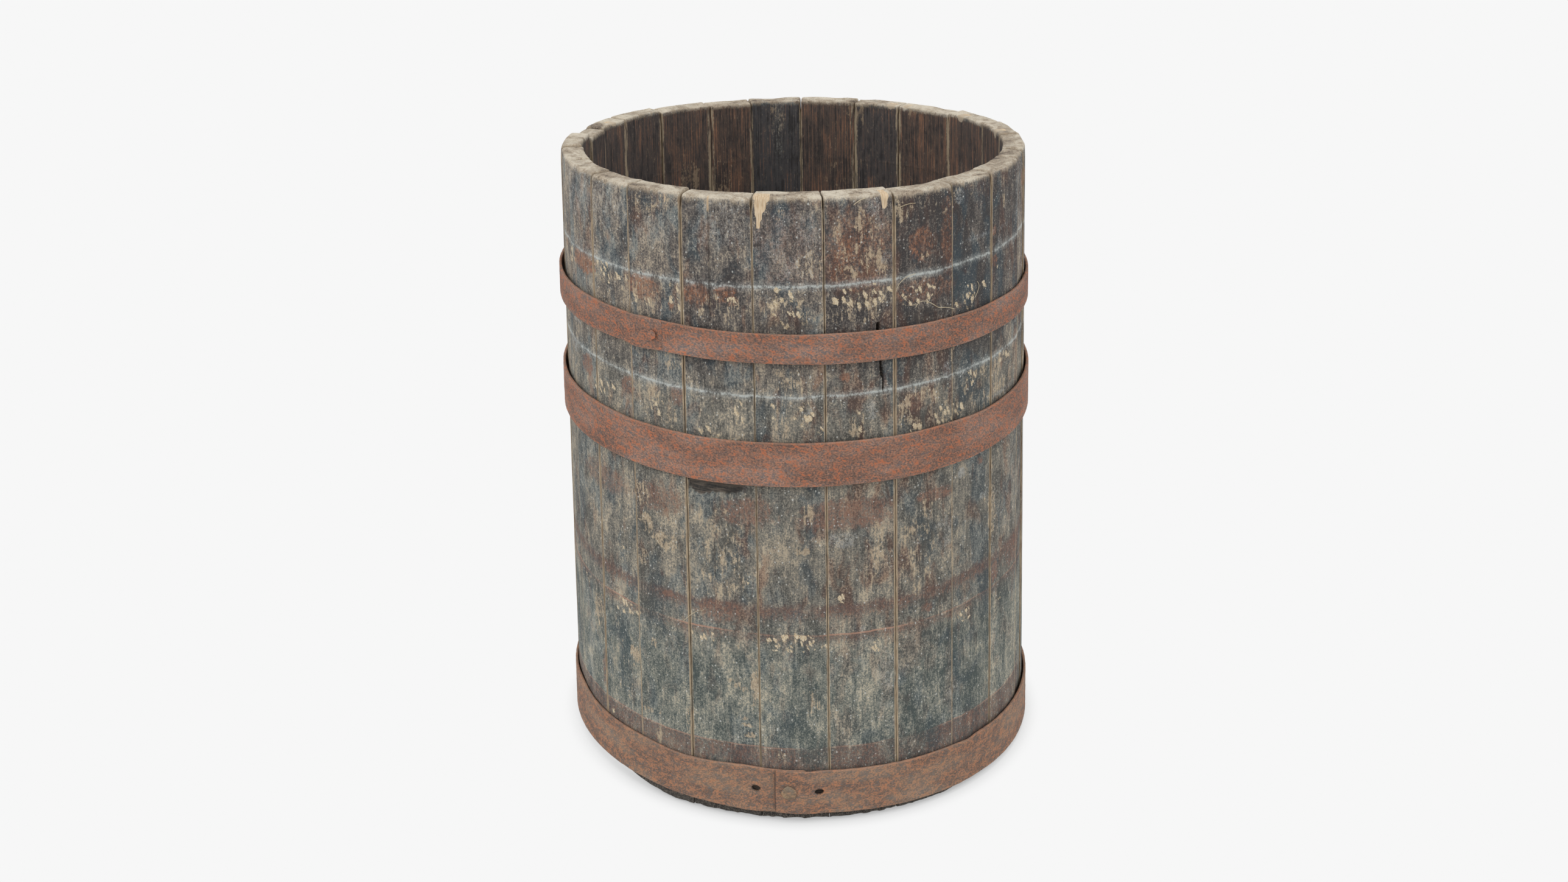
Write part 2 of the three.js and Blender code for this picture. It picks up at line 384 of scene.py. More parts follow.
def node_points(name):
    return np.array([vertex.co for vertex in nodes[name].data.vertices])


# ---- Marks on the outside of the staves, each as angles, heights and a strength ----

# Bare, scuffed wood in upright streaks.
SCUFFS = [
    (228, 237, 770, 800, 0.6), (229, 234, 368, 395, 0.8), (234, 242, 355, 376, 0.8),
    (228, 233, 405, 436, 0.8), (229, 232, 322, 346, 0.7), (242, 243.6, 300, 420, 0.6),
    (242, 243.6, 100, 142, 0.8), (245, 258, 300, 425, 0.5), (271, 274, 405, 436, 0.7),
    (269, 274, 370, 378, 0.8), (285, 291, 325, 402, 0.55), (294, 304, 300, 400, 0.5),
    (295, 298, 370, 394, 0.9), (300, 304, 400, 425, 0.7), (322.5, 325.5, 320, 432, 0.7),
    (209, 215, 198, 246, 0.8), (225, 228, 168, 206, 0.8), (232, 234, 212, 225, 0.9),
    (252.6, 254.8, 190, 195, 1), (254, 256.2, 185, 191, 1), (255.6, 258, 179, 186, 1),
    (258.4, 260.2, 160, 214, 0.8), (256.2, 258.8, 130, 135, 1), (256, 258.4, 140, 143, 1),
    (256.8, 259.4, 115, 121, 1), (227, 235, 116, 122, 0.8), (233, 235, 75, 102, 0.8),
    (264, 266, 86, 112, 0.7), (272, 275, 158, 192, 0.6), (330, 332, 145, 202, 0.6),
    (271, 276, 715, 745, 0.8), (277, 292, 700, 798, 0.35), (285, 292, 712, 744, 0.7),
    (281, 284, 712, 726, 0.8), (283.5, 285, 760, 792, 0.9), (293.3, 295.5, 770, 802, 0.9),
    (277, 292, 655, 690, 0.5), (262, 276, 655, 690, 0.5), (293, 308, 520, 570, 0.6),
    (300, 312, 515, 545, 0.5), (246, 260, 660, 690, 0.5), (215, 243, 655, 690, 0.45),
    (312, 336, 515, 572, 0.5), (265, 272, 515, 612, 0.5), (282, 286, 515, 550, 0.7),
    (232, 243, 520, 570, 0.5), (328.8, 329.8, 756, 772, 0.9), (300, 302, 724, 732, 0.7),
    (237, 243, 590, 610, 0.5), (308.5, 310, 580, 612, 0.6), (246, 250, 380, 440, 0.4),
    (205, 212, 300, 420, 0.3), (303, 309, 770, 790, 0.4), (262, 268, 780, 812, 0.5),
    (196, 345, 775, 830, 0.25), (212, 227, 105, 235, 0.3),
]
# Cream pecks where old hoops were hammered down.
PECKS = [
    (215.5, 221.5, 674, 698, 1), (221, 228.5, 684, 693, 0.8), (198, 203, 675, 701, 0.7),
    (229.5, 231, 664, 672, 0.8), (233, 235, 662, 677, 0.8), (240.3, 242.8, 662, 696, 0.9),
    (255, 257, 680, 687, 0.7), (264.5, 271.5, 656, 701, 0.7), (278.5, 292.5, 675, 699, 1),
    (295, 303.5, 671, 692, 0.9), (309.5, 311, 652, 660, 1), (313, 317, 648, 679, 0.7),
    (319, 322, 667, 674, 0.9), (213, 222, 529, 547, 0.7), (234.5, 239, 529, 547, 0.7),
    (246, 252, 513, 527, 0.7), (256, 257.5, 530, 560, 0.6), (264, 265.5, 544, 562, 0.7),
    (269.5, 273.5, 534, 562, 0.8), (284, 285.5, 524, 547, 0.8), (296.5, 300, 513, 526, 0.9),
    (303, 312.5, 513, 537, 0.9), (312, 317.5, 552, 571, 0.9), (325, 335, 563, 573, 0.9),
    (274.5, 276, 524, 532, 0.8), (203, 207.5, 243, 257, 0.8), (215, 228, 242, 259, 0.9),
    (243.5, 250, 242, 257, 0.9), (254, 256, 236, 243, 0.7), (262.5, 273.5, 239, 262, 1),
    (275, 276.3, 238, 250, 1), (287, 288.8, 233, 246, 1), (311, 315.5, 239, 253, 1),
    (327.5, 330.5, 239, 244, 1), (222, 224.2, 330, 336, 1), (257, 258.2, 326, 332, 1),
    (279, 280.6, 304, 313, 1), (276.7, 278, 150, 158, 1), (216.4, 217.8, 84, 90, 1),
    (319.3, 320.6, 145, 153, 1), (320, 321.5, 392, 399, 0.8), (324.8, 326, 683, 688, 0.9),
    (286.5, 288, 718, 723, 1),
]
# Pale bloom, chalk and lichen.
BLOOM = [
    (198, 214, 738, 802, 0.7), (214, 228, 745, 800, 0.6), (230, 243, 740, 775, 0.5),
    (246, 260, 745, 800, 0.6), (261, 276, 700, 800, 0.55), (286, 289.5, 783, 802, 0.8),
    (288.5, 291.5, 765, 800, 0.6), (310, 313, 780, 798, 0.9), (337.5, 344, 700, 800, 0.8),
    (290, 292.5, 725, 738, 1), (277, 284, 377, 396, 0.9), (288, 294, 148, 226, 0.6),
    (311, 313.5, 436, 447, 1.3), (319, 322, 392, 402, 0.9), (197, 205, 561, 579, 1.3),
    (286, 288.5, 538, 560, 0.8), (271, 273.5, 545, 556, 0.8), (303.5, 306, 378, 386, 0.9),
    (306, 308.8, 352, 392, 0.7), (276.9, 277, 120, 220, 0.5), (305, 311, 100, 215, 0.4),
    (330, 345, 330, 440, 0.4), (296.5, 299, 563, 568, 0.9), (284, 285.5, 263, 268, 1),
    (306, 308, 575, 592, 0.9), (93, 95.5, 700, 808, 1.0), (88, 89.5, 720, 800, 0.5),
    (311, 334, 731, 735, 0.8), (323, 337, 521, 525, 0.9), (200, 228, 704, 712, 0.6),
    (278, 293, 700, 708, 0.5), (326, 328.5, 705, 722, 0.8), (198, 206, 600, 612, 0.8),
    (228, 243, 560, 600, 0.4),
]
# Warm rust and orange stain.
RUST = [
    (204, 214.5, 674, 699, 1), (228, 236.5, 670, 700, 0.8), (244, 250, 672, 700, 0.7),
    (252, 256.5, 680, 700, 0.8), (240, 241.2, 664, 672, 1), (207, 212.5, 543, 567, 1),
    (225, 229, 545, 566, 0.8), (240, 243.4, 548, 570, 0.9), (324.4, 326.6, 270, 297, 1),
    (314.8, 316.2, 84, 101, 1), (213, 215, 118, 167, 0.7), (236.6, 239.4, 291, 298, 0.9),
    (228, 243, 402, 437, 0.6), (252, 264, 405, 437, 0.7), (271, 292, 400, 438, 0.8),
    (279.5, 284.5, 416, 430, 1), (299, 309, 419, 433, 0.8), (207, 226, 402, 432, 0.5),
    (280, 282.2, 588, 596, 1), (306, 309, 700, 792, 0.4), (297, 303, 722, 760, 0.6),
    (279, 283, 730, 760, 0.8), (294, 309, 675, 698, 0.4), (324, 325.4, 728, 738, 0.8),
    (323.3, 326, 690, 702, 0.6), (296, 300, 540, 562, 0.7), (300, 303, 272, 282, 0.8),
    (262, 276, 700, 790, 0.25), (331, 344, 270, 305, 0.6), (246, 256, 270, 300, 0.5),
    (318, 320, 444, 450, 0.8), (277, 292, 695, 790, 0.5),
]
# Near-black marks. Most are painted shade, in the empty nail holes of the bottom hoop, in cracks, and in
# the hollow under the middle hoop; the broad, faint ones are damp patches.
SHADE_AND_DAMP = [
    (243.9, 250.5, 439.5, 466, 1.3), (248.5, 257, 443, 466, 1.2), (261, 276, 650, 664, 0.5),
    (277, 284.5, 315, 385, 0.42), (262, 275, 320, 400, 0.4), (294, 309, 648, 664, 0.5),
    (302, 306, 735, 790, 0.35), (258, 260.4, 42, 50, 1.3), (272.6, 275, 40.5, 48, 1.3),
    (250.1, 251, 655, 800, 0.5), (250.1, 251, 520, 612, 0.4), (250.1, 250.4, 328, 382, 0.6),
    (273, 276, 186, 186, 0.4),
]
# Freshly broken, pale wood.
FRESH = [
    (261.1, 264.5, 800, 818, 1), (261.3, 263.7, 790, 804, 1), (261.5, 262.9, 780, 794, 1),
    (261.7, 262.4, 771, 783, 1), (290.2, 291.2, 789, 806, 1), (290, 291.5, 797, 808, 1),
    (250.1, 250.6, 785, 804, 0.55), (239.4, 239.9, 790, 799, 0.6),
]
# Chips out of the inner edge of the rim.
INNER_CHIPS = [
    (104.6, 108.6, 796, 818, 1), (57.6, 60.4, 788, 818, 1), (53.2, 55.2, 793, 805, 1),
    (30.6, 33, 792, 806, 1), (152, 154.5, 790, 812, 1), (8, 10.5, 794, 812, 1),
]
# Pale strips beside seams: the seam's angle to half a degree, and the strip's width in millimetres.
SEAM_STRIPS = {
    214.5: 2, 228.5: 1.5, 243.5: 2.2, 260.5: 1.4, 276.5: 1.8, 293: 2.8, 309: 1.2, 323.5: 2, 340: 4.5,
    56.5: 3.4, 71: 3.8, 37.5: 3, 102.5: 2.2, 115.5: 4, 132.5: 2.5, 147.5: 4,
}
USUAL_STRIP = 1.6
WIDEST_OUTSIDE = 2.4

# Deep cuts: angle, width, heights, and depth, in degrees and millimetres.
CUTS = [
    (289, 4.6, 612, 654, 12), (289.7, 3, 588, 622, 9), (290.1, 2, 572, 600, 6), (250.4, 1.2, 655, 800, 0.7),
]
# Shallow hollows with a rim: from and to angle, bottom and top height, and depth.
HOLLOWS = [
    (243.9, 251.5, 437.5, 480, 3.4), (250.5, 257.2, 441.5, 480, 3), (261, 264, 790, 820, 1.8),
    (261, 262.6, 778, 800, 1.2), (290.1, 291.5, 790, 815, 1.2), (250, 250.8, 786, 806, 0.8),
    (103.5, 109, 792, 830, 0.6),
]


def unseen_marks(count, heights, size, strengths, seed):
    """Marks for the back of the vat, strewn as on the front."""
    chance = np.random.default_rng(seed)
    marks = []
    for _ in range(count):
        angle = chance.uniform(-15, 195)
        height = chance.uniform(*heights)
        wide = chance.uniform(0.4, 1) * size[0]
        tall = chance.uniform(0.4, 1) * size[1]
        marks.append((angle, angle + wide, height, height + tall, chance.uniform(*strengths)))
    return marks


def patches(angle, height, marks, ragged):
    """How strongly the marks cover each point. ragged is noise that frays their outlines."""
    total = np.zeros(len(angle))
    for first, last, low, high, strength in marks:
        middle = (first + last) / 2
        turn = turned_from(angle, middle)
        if np.abs(turn).min() > last - first + 2:
            continue
        across = np.abs(turn) / ((last - first) / 2 + 0.15)
        up = np.abs(height - (low + high) / 2) / ((high - low) / 2 + 1)
        far = np.sqrt(across**2.5 + up**2.5)
        total = np.maximum(total, strength * smooth(1.25 - far + 0.35 * ragged, 0, 0.5))
    return total


SCUFFS += unseen_marks(40, (60, 780), (9, 70), (0.4, 0.9), 1)
BLOOM += unseen_marks(26, (60, 780), (8, 45), (0.3, 0.9), 2)
RUST += unseen_marks(22, (60, 780), (9, 30), (0.4, 0.9), 3)
for peck_height in (676, 522, 240):
    PECKS += unseen_marks(16, (peck_height, peck_height + 8), (7, 16), (0.7, 1), peck_height)


# ---- Staves ----

CROZE_HEIGHTS = (41.5, 43, 49, 50.5)  # the groove for the head: the slope's ends and the flat's ends
CROZE_DEPTH = 22
CROZE_MORE_ROWS = (40, 46, 52)
TIGHTER = 0.18  # how far each side reaches into the CAD's seam, so that no light comes through
FOOT_LOSS = 14  # how much is rotted off the lower ends round this angle
FOOT_LOSS_ANGLE = 203


def measured_stave(name):
    """A stave's edge angles, and its outer and inner radius and its top height as functions."""
    angle, radius, height = on_cone(node_points(name))
    middle = angle[0]
    turn = turned_from(angle, middle)
    upper = height > WALL_TOP / 2
    first = middle + turn.min()
    last = middle + turn.max()

    def line(sign):
        low = np.argmax(np.where(upper, -np.inf, sign * radius))
        high = np.argmax(np.where(upper, sign * radius, -np.inf))
        steep = (radius[high] - radius[low]) / (height[high] - height[low])
        return lambda at: radius[low] + steep * (at - height[low])

    def top(part):
        left = height[turn < turn.min() + 0.1].max()
        right = height[turn > turn.max() - 0.1].max()
        return left + (right - left) * part

    return first, last, line(1), line(-1), top


def strip_width(edge_angle, depth_part):
    """The pale strip beside a seam: its own width inside the vat, and a limited one outside."""
    width = SEAM_STRIPS.get(round(edge_angle % 360 * 2) / 2, USUAL_STRIP)
    outside = min(width, WIDEST_OUTSIDE)
    return outside + (width - outside) * depth_part


def stave_grid(first, last, size):
    """A stave's points and faces in its chart, with finer columns at its cuts and with the croze groove."""
    columns = spaced(size[0], 2.2, 0.45)
    for angle, width, _, _, _ in CUTS:
        turn = (angle - first) % 360
        if turn < last - first:
            middle = math.radians(turn) * MEAN_RADIUS
            near = middle + width * np.linspace(-0.8, 0.8, 9)
            columns = without_close([*columns, *near], 0.3)
    rows = [*spaced(size[2], 3.0, 0.7), *CROZE_HEIGHTS, *CROZE_MORE_ROWS]
    rows = without_close(rows, 0.65)
    layers = np.unique([*spaced(size[1], 4, 0.8), CROZE_DEPTH])
    kept = np.ones((len(columns) - 1, len(layers) - 1, len(rows) - 1), bool)
    row_middles = (rows[1:] + rows[:-1]) / 2
    in_groove = (row_middles > CROZE_HEIGHTS[0]) & (row_middles < CROZE_HEIGHTS[3])
    kept[:, layers[:-1] >= CROZE_DEPTH - 0.01, :] &= ~in_groove
    return grid_mesh(columns, layers, rows, kept)


def weathered(chart, shifted, size, near_top, ragged, seed):
    """The points of a stave once its edges are rounded and its faces are weathered, still in its chart."""
    _, depth, up = chart.T

    # Rounding: small along the sides, and large at the worn upper end.
    near_foot = smooth(up, 9, 2)
    frayed = 0.5 + 0.5 * noise(shifted, (9, 9, 14), seed)
    radius = np.empty_like(chart)
    radius[:, 0] = 0.25 + 0.45 * frayed + 2.2 * near_top + 0.2 * near_foot
    radius[:, 1] = 0.4 + 0.6 * frayed + (5.0 - 2.2 * depth / size[1]) * near_top + 1.6 * near_foot
    radius[:, 2] = np.where(up > size[2] / 2, 5.5 - 2.5 * depth / size[1], 2.5) + 1.5 * frayed
    placed, outward = rounded(chart, size, radius)

    # Weathering of the faces. Upright ridges, slow waves, and a coarser, worn rim.
    ridges = noise(shifted, (2.6, 6, 60), seed + 1) * 0.13
    waves = noise(shifted, (24, 60, 130), seed + 2) * 0.35
    rim_wear = near_top * (0.55 * noise(shifted, (19, 14, 12), seed + 4) + 0.12 * ragged - 0.4)
    foot_wear = smooth(up, 16, 0) * (2.2 * ragged - 0.6)
    relief = np.minimum(ridges + waves - 0.35 + rim_wear + foot_wear, 0.5)
    placed += outward * relief[:, None]
    placed[:, 0] = np.clip(placed[:, 0], 0, size[0])
    placed[:, 0] += TIGHTER * (2 * placed[:, 0] / size[0] - 1)
    return placed


def cut_depths(angle, up, shifted, ragged, seed):
    """How far the cuts and hollows go straight in from the outside, and how far the cuts alone do."""
    inward = np.zeros(len(angle))
    for at, width, low, high, deep in CUTS:
        turn = turned_from(angle, at)
        offset = np.abs(np.radians(turn) * MEAN_RADIUS + 0.5 * noise(shifted, (40, 40, 11), seed))
        window = smooth(up, low - 2, low + 3) * smooth(up, high + 2, high - 3)
        inward = np.maximum(inward, deep * window * smooth(offset, width * 0.56, width * 0.36))
    cuts = inward
    for from_angle, to_angle, low, high, deep in HOLLOWS:
        turn = turned_from(angle, (from_angle + to_angle) / 2)
        across_part = (to_angle - from_angle) / 2 - np.abs(turn)
        step = across_part / 0.35 + 0.8 * ragged
        window = smooth(step, 0, 1) * smooth(up + 1.6 * ragged, low - 1, low + 2)
        window *= smooth(up, high + 3, high)
        inward = np.maximum(inward, deep * window * (1 + 0.15 * noise(shifted, (3, 5, 25), seed + 5)))
    return inward, cuts


def stave_marks(angle, height, depth_part, cuts, shifted, seed):
    """Scuffs, pecks and bloom at each point, and then fresh breaks, dark marks and rust. The dark marks are
    painted shade in cuts, holes and hollows, and damp patches.
    """
    frayed = noise(shifted, (3.5, 6, 5), seed + 7) + 0.5 * noise(shifted, (1.6, 6, 2.5), seed + 8)
    scuff = patches(angle, height, SCUFFS, frayed)
    pecked = patches(angle, height, PECKS, frayed * 0.6)
    bloom = patches(angle, height, BLOOM, frayed)
    fresh = patches(angle, height, FRESH, frayed * 0.3) * (depth_part < 0.5)
    fresh += patches(angle, height, INNER_CHIPS, frayed * 0.4) * (depth_part > 0.5)
    # The dark marks: painted shade in cuts deeper than half a millimetre and in the listed holes, cracks
    # and hollows, and damp patches.
    dark = np.maximum(patches(angle, height, SHADE_AND_DAMP, frayed * 0.5), smooth(cuts, 0.5, 2.5))
    rust = patches(angle, height, RUST, frayed)
    return np.stack([scuff, pecked, bloom], axis=1), np.stack([fresh, dark, rust], axis=1)


def make_stave(name, seed, tint, material):
    first, last, outer, inner, top = measured_stave(name)
    size = np.array([math.radians(last - first) * MEAN_RADIUS, outer(400) - inner(400), top(0.5)])
    chart, faces = stave_grid(first, last, size)
    across, depth, up = chart.T
    depth_part = depth / size[1]
    shifted = chart + [first * 5.2, 0, 0]
    near_top = smooth(up, size[2] - 22, size[2] - 5)
    ragged = noise(shifted, (5, 6, 5), seed + 3)
    placed = weathered(chart, shifted, size, near_top, ragged, seed)
    angle = first + np.degrees(placed[:, 0] / MEAN_RADIUS)
    inward, cuts = cut_depths(angle, up, shifted, ragged, seed)
    placed[:, 1] += inward * smooth(depth_part, 0.5, 0)

    # Into place round the wall. The slope of the top is taken up gently over the upper end.
    part = placed[:, 0] / size[0]
    slope = (top(part) - size[2]) * smooth(placed[:, 2], size[2] - 150, size[2])
    height = placed[:, 2] + slope + near_top * 0.8 * noise(shifted, (20, 40, 40), seed + 6)
    rotted = FOOT_LOSS * smooth(np.abs(turned_from(angle, FOOT_LOSS_ANGLE)), 36, 12) + 1.2 + 1.2 * ragged
    height += rotted * np.clip(1 - placed[:, 2] / 34, 0, 1)
    wall_radius = outer(height) - placed[:, 1]
    bevel = smooth(depth, size[1] - 9, size[1]) * np.clip(1 - up / 24, 0, 1) * 9
    points = from_cone(first + (last - first) * part, wall_radius + bevel, height)

    # What the material needs to know.
    wear, marks = stave_marks(angle, height, depth_part, cuts, shifted, seed)
    left, right = (strip_width(edge, depth_part) for edge in (first, last))
    attributes = {
        "place": np.stack([np.radians(angle) * MEAN_RADIUS, placed[:, 1], height], axis=1) * MM,
        "edges": np.stack([across / left, (size[0] - across) / right, size[2] - up], axis=1),
        "face": np.stack([depth_part, np.full(len(chart), seed * 0.37), up], axis=1),
        "wear": wear,
        "marks": marks,
        "tint": np.tile(tint, (len(chart), 1)),
    }
    stave = make_object(f"{name}_worn", points, faces, attributes, material)
    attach(stave, "cask")
    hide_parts(name)


def make_staves(material):
    names = sorted(name for name in nodes if name.startswith("stave_"))
    for number, (name, tint) in enumerate(zip(names, TINTS)):
        make_stave(name, number * 20 + 1, tint, material)


# ---- The staves' wood ----

# Old lines round the wall: their rise along X and Y, and their height at the axis in metres.
SEAT_BAND = (0.013, 0.04, 0.312)
SEAT_LINE = (0, 0.02, 0.2665)
FOOT_LINE = (0, 0, 0.103)
CHALK_UPPER = (0.0185, 0.0105, 0.706)
CHALK_LOWER = (0.0055, 0.034, 0.580)

# For each stave in order: how dark, how red and how blue it is beside the others.
TINTS = [
    (-0.6, 0, 0.4), (-0.3, 0, 0.3), (0.1, 0, 0.2), (0.1, 0.1, 0.1), (0.5, 0.3, -0.1), (1.3, 0.3, 0),
    (1.2, 0, 0.4), (0.5, 0.2, 0.1), (0.1, 0.1, 0.2), (0, 0.1, 0.2), (0, 0.2, 0), (0.2, 0.4, 0),
    (0.1, 0.7, 0), (0.5, 0.1, 0.5), (0, 0.7, 0), (-0.3, 0, 1), (0.1, 0.9, 0), (0.3, 0.6, 0.1),
    (0.2, 0.3, 0.2), (0.1, 0.2, 0.1), (0.1, 0.1, 0), (-0.1, 0.1, 0.2), (-0.4, 0.1, 0.3), (-0.6, 0, 0.4),
]


def stave_material():
    paint = Paint("weathered_oak")
    place = paint.attribute("place")
    arc, _, height = place.parts()
    left, right, below_top = paint.attribute("edges").parts()
    depth_part, shift, above_foot = paint.attribute("face").parts()
    scuff, pecked, bloom = paint.attribute("wear").parts()
    fresh, dark, rust = paint.attribute("marks").parts()
    darker, redder, bluer = paint.attribute("tint").parts()

    # The grain differs from stave to stave. Only the clouds cross the seams.
    own = paint.vector(arc, depth_part * 0.028 + shift, height)
    cloud = paint.noise(place, (70, 40, 150), 2)
    broad = paint.noise(own, (34, 24, 62), 3, 0.6, 0.8)
    patch = paint.noise(own, (10, 12, 24), 5, 0.68, 0.4)
    mottle = paint.noise(own, (3.3, 6, 4.6), 6, 0.78, 0.35)
    grain = paint.noise(own, (0.9, 3, 16), 5, 0.66)
    coarse_grain = paint.noise(own, (3, 5, 56), 4, 0.66)
    speck = paint.noise(own, (0.9, 1.3, 1.2), 2, 0.6)
    fleck = paint.noise(own, (1.8, 2.2, 2.1), 4, 0.72)
    dot_far, dot_chance = paint.cells(own, (4.5, 40, 5))
    fine = {"grain": grain, "coarse_grain": coarse_grain, "fleck": fleck, "speck": speck}
    sway = swaying(cloud=cloud, broad=broad, patch=patch, mottle=mottle, **fine)

    upper = height.ramp(0.54, 0.63)
    low = height.ramp(0.30, 0.20)
    light = sway(cloud=2.2, broad=3.2, patch=2.9, mottle=3.8)
    light = light + sway(grain=1.4, coarse_grain=2.2, fleck=5.2, speck=0.8)
    light = light - darker * (upper * 0.5 + 0.15)

    def by_height(mid_wall, upper_wall, low_wall):
        return paint.mix(low, paint.mix(upper, mid_wall, upper_wall), low_wall)

    deep = by_height((74, 73, 69), (58, 55, 55), (68, 76, 74))
    middle = by_height((116, 113, 105), (101, 95, 90), (117, 119, 111))
    pale = by_height((177, 164, 142), (168, 155, 136), (180, 171, 150))
    colour = paint.mix(light.ramp(-0.95, 0.05), deep, middle)
    colour = paint.mix(light.ramp(0.1, 1.2), colour, pale)

    # Blue-black and brown areas.
    blueness = (paint.noise(own, (30, 20, 60), 4, 0.6, 0.5) - 0.5) * 4 + bluer * 0.6
    bluish = paint.mix(light.ramp(-0.5, 0.6), (56, 69, 76), (112, 122, 123))
    colour = paint.mix(blueness.ramp(0.05, 0.75) * (low * -0.08 + upper * 0.1 + 0.58), colour, bluish)
    redness = (paint.noise(own, (20, 20, 50), 5, 0.62, 0.5) - 0.5) * 4 + redder * 0.8
    reddish = paint.mix(light.ramp(-0.5, 0.6), (82, 60, 52), (140, 110, 90))
    colour = paint.mix(redness.ramp(0.1, 0.85) * (low * -0.42 + 0.68), colour, reddish)

    # Rust: the bands below the old seats, and patches. The old seats slope a little.
    angle = arc * (1 / (MEAN_RADIUS * MM))
    x = angle.math("COSINE") * (MEAN_RADIUS * MM)
    y = angle.math("SINE") * (MEAN_RADIUS * MM)
    wobble = (paint.noise(place, (34, 30, 400), 3) - 0.5) * 0.005
    fray = sway(mottle=0.03, grain=0.02, patch=0.02)

    def above(x_rise, y_rise, start):
        return height + wobble - (x * x_rise + y * y_rise + start)

    seat_band = above(*SEAT_BAND)
    seat_line = above(*SEAT_LINE)
    foot_line = above(*FOOT_LINE)
    stain = (seat_band + fray).ramp(0.004, -0.003) * (seat_band + fray).ramp(-0.022, -0.006) * 0.9
    below_line = (seat_line + fray * 0.6).ramp(0.002, -0.001) * (seat_line + fray).ramp(-0.014, -0.002)
    stain = stain + below_line * 0.65
    stain = stain + (foot_line + fray * 0.6).ramp(0.002, -0.002) * 0.85
    stain = stain * cloud.ramp(0.35, 0.5, 0.35, 1)
    stain = stain + rust * (0.6 + (patch + mottle - 1).ramp(-0.08, 0.2) * 0.9)
    stain = (stain * (0.3 + (mottle + grain * 0.6).ramp(0.6, 0.95) * 0.8)).math("MINIMUM", 0.8)
    rust_dark = paint.mix(upper, (88, 69, 65), (94, 69, 60))
    rust_light = paint.mix(upper, (130, 94, 78), (150, 102, 75))
    rusty = paint.mix((mottle + rust * 0.12).ramp(0.44, 0.68), rust_dark, rust_light)
    colour = paint.mix(stain, colour, rusty)
    thin = seat_line.ramp(-0.0016, -0.0002) * seat_line.ramp(0.0018, 0.0004)
    thin = thin + foot_line.ramp(-0.0016, -0.0002) * foot_line.ramp(0.0014, 0.0002) * 0.7
    thin = thin * (cloud + grain * 0.5 + mottle * 0.5).ramp(0.8, 1.15)
    colour = paint.mix(thin * 0.85, colour, (170, 132, 112))

    # Scuffed, bare wood shows its fibres.
    streaky = sway(grain=1.2, coarse_grain=1.6, mottle=2.2, patch=2.6)
    bare = (scuff * 0.75 + streaky).ramp(0.54, 0.7) * scuff.ramp(0.02, 0.3, 0.5, 1)
    bare_light = (speck * 0.4 + mottle * 0.6).ramp(0.4, 0.62)
    bare_wood = paint.mix(bare_light, (150, 130, 106), (194, 178, 152))
    colour = paint.mix(bare * 0.8, colour, bare_wood)

    # Dust, pale fibres, white dots and bloom.
    fibre = (grain * 0.6 + coarse_grain * 0.4).ramp(0.56, 0.64) * mottle.ramp(0.46, 0.6)
    dots = (dot_far - (mottle - 0.5) * 0.8 - (dot_chance - 0.8) * 0.35).ramp(0.2, 0.1)
    dots = dots * (dot_chance + (patch - 0.5) * 2.5 + low * 0.12).ramp(0.55, 0.65)
    flecks = (fleck + (patch - 0.5) * 0.3).ramp(0.6, 0.68) * 0.5
    dust = (speck.ramp(0.58, 0.72) * 0.3 + flecks + fibre * 0.4).math("MINIMUM", 1)
    colour = paint.mix(dust, colour, paint.mix(low, (166, 160, 146), (164, 170, 164)))
    colour = paint.mix(dots * 0.65, colour, (200, 200, 194))
    powder = bloom * (sway(mottle=4, speck=4, patch=3) + 0.45)
    colour = paint.mix(powder.ramp(0.1, 1.1) * 0.5, colour, (164, 168, 168))

    # Chalk lines, cloudy and broken.
    chalk_upper = (above(*CHALK_UPPER) + fray * 0.15).math("ABSOLUTE")
    chalk_lower = (above(*CHALK_LOWER) + fray * 0.15).math("ABSOLUTE")
    chalk_off = chalk_upper.math("MINIMUM", chalk_lower)
    chalk = chalk_off.ramp(0.008, 0.001) * 0.3 + chalk_off.ramp(0.0024, 0.0003) * 0.7
    broken = (cloud * 0.7 + mottle * 1.5 + fleck * 1.2 + patch * 1.3).ramp(2, 2.65)
    chalk = chalk * (0.08 + broken * 1.05)
    colour = paint.mix(chalk.math("MINIMUM", 0.88), colour, (184, 188, 184))

    # Pecks: small leaning ovals.
    strewn = (patch - 0.5) * 0.012
    leaning = paint.vector(arc + height * 0.35 + strewn, shift, height + strewn)
    peck_far, peck_chance = paint.cells(leaning, (5.4, 400, 9.5))
    peck = (peck_far + (fleck - 0.5) * 1.2 - (peck_chance - 0.5) * 0.3).ramp(0.42, 0.35)
    peck = peck * (peck_chance * 0.7 + pecked * 0.7).ramp(0.72, 0.8)
    peck_wood = paint.mix(speck.ramp(0.35, 0.6), (176, 152, 116), (218, 204, 178))
    colour = paint.mix(peck * 0.92, colour, peck_wood)

    # A bare strip along each seam.
    strip = left.math("MINIMUM", right) + sway(grain=0.8, mottle=1.2)
    broken_strip = paint.noise(own, (9, 9, 60), 3).ramp(0.36, 0.5, 0.35, 1)
    strip_wood = paint.mix(grain.ramp(0.35, 0.65), (134, 114, 92), (184, 166, 138))
    colour = paint.mix(strip.ramp(1.2, 0.75) * broken_strip * 0.9, colour, strip_wood)

    # The rim is weathered to tan fibres with dark specks.
    rim_edge = below_top + sway(mottle=24, grain=10, patch=26)
    rim = rim_edge.ramp(8, 0)
    rim_light = sway(mottle=3.2, speck=1.8, patch=2.6, broad=3, cloud=3) + 0.45
    rim_wood = paint.mix(rim_light.ramp(-0.7, 0), (92, 81, 72), (156, 142, 123))
    rim_wood = paint.mix(rim_light.ramp(0, 0.9), rim_wood, (202, 192, 174))
    colour = paint.mix(rim, colour, rim_wood)
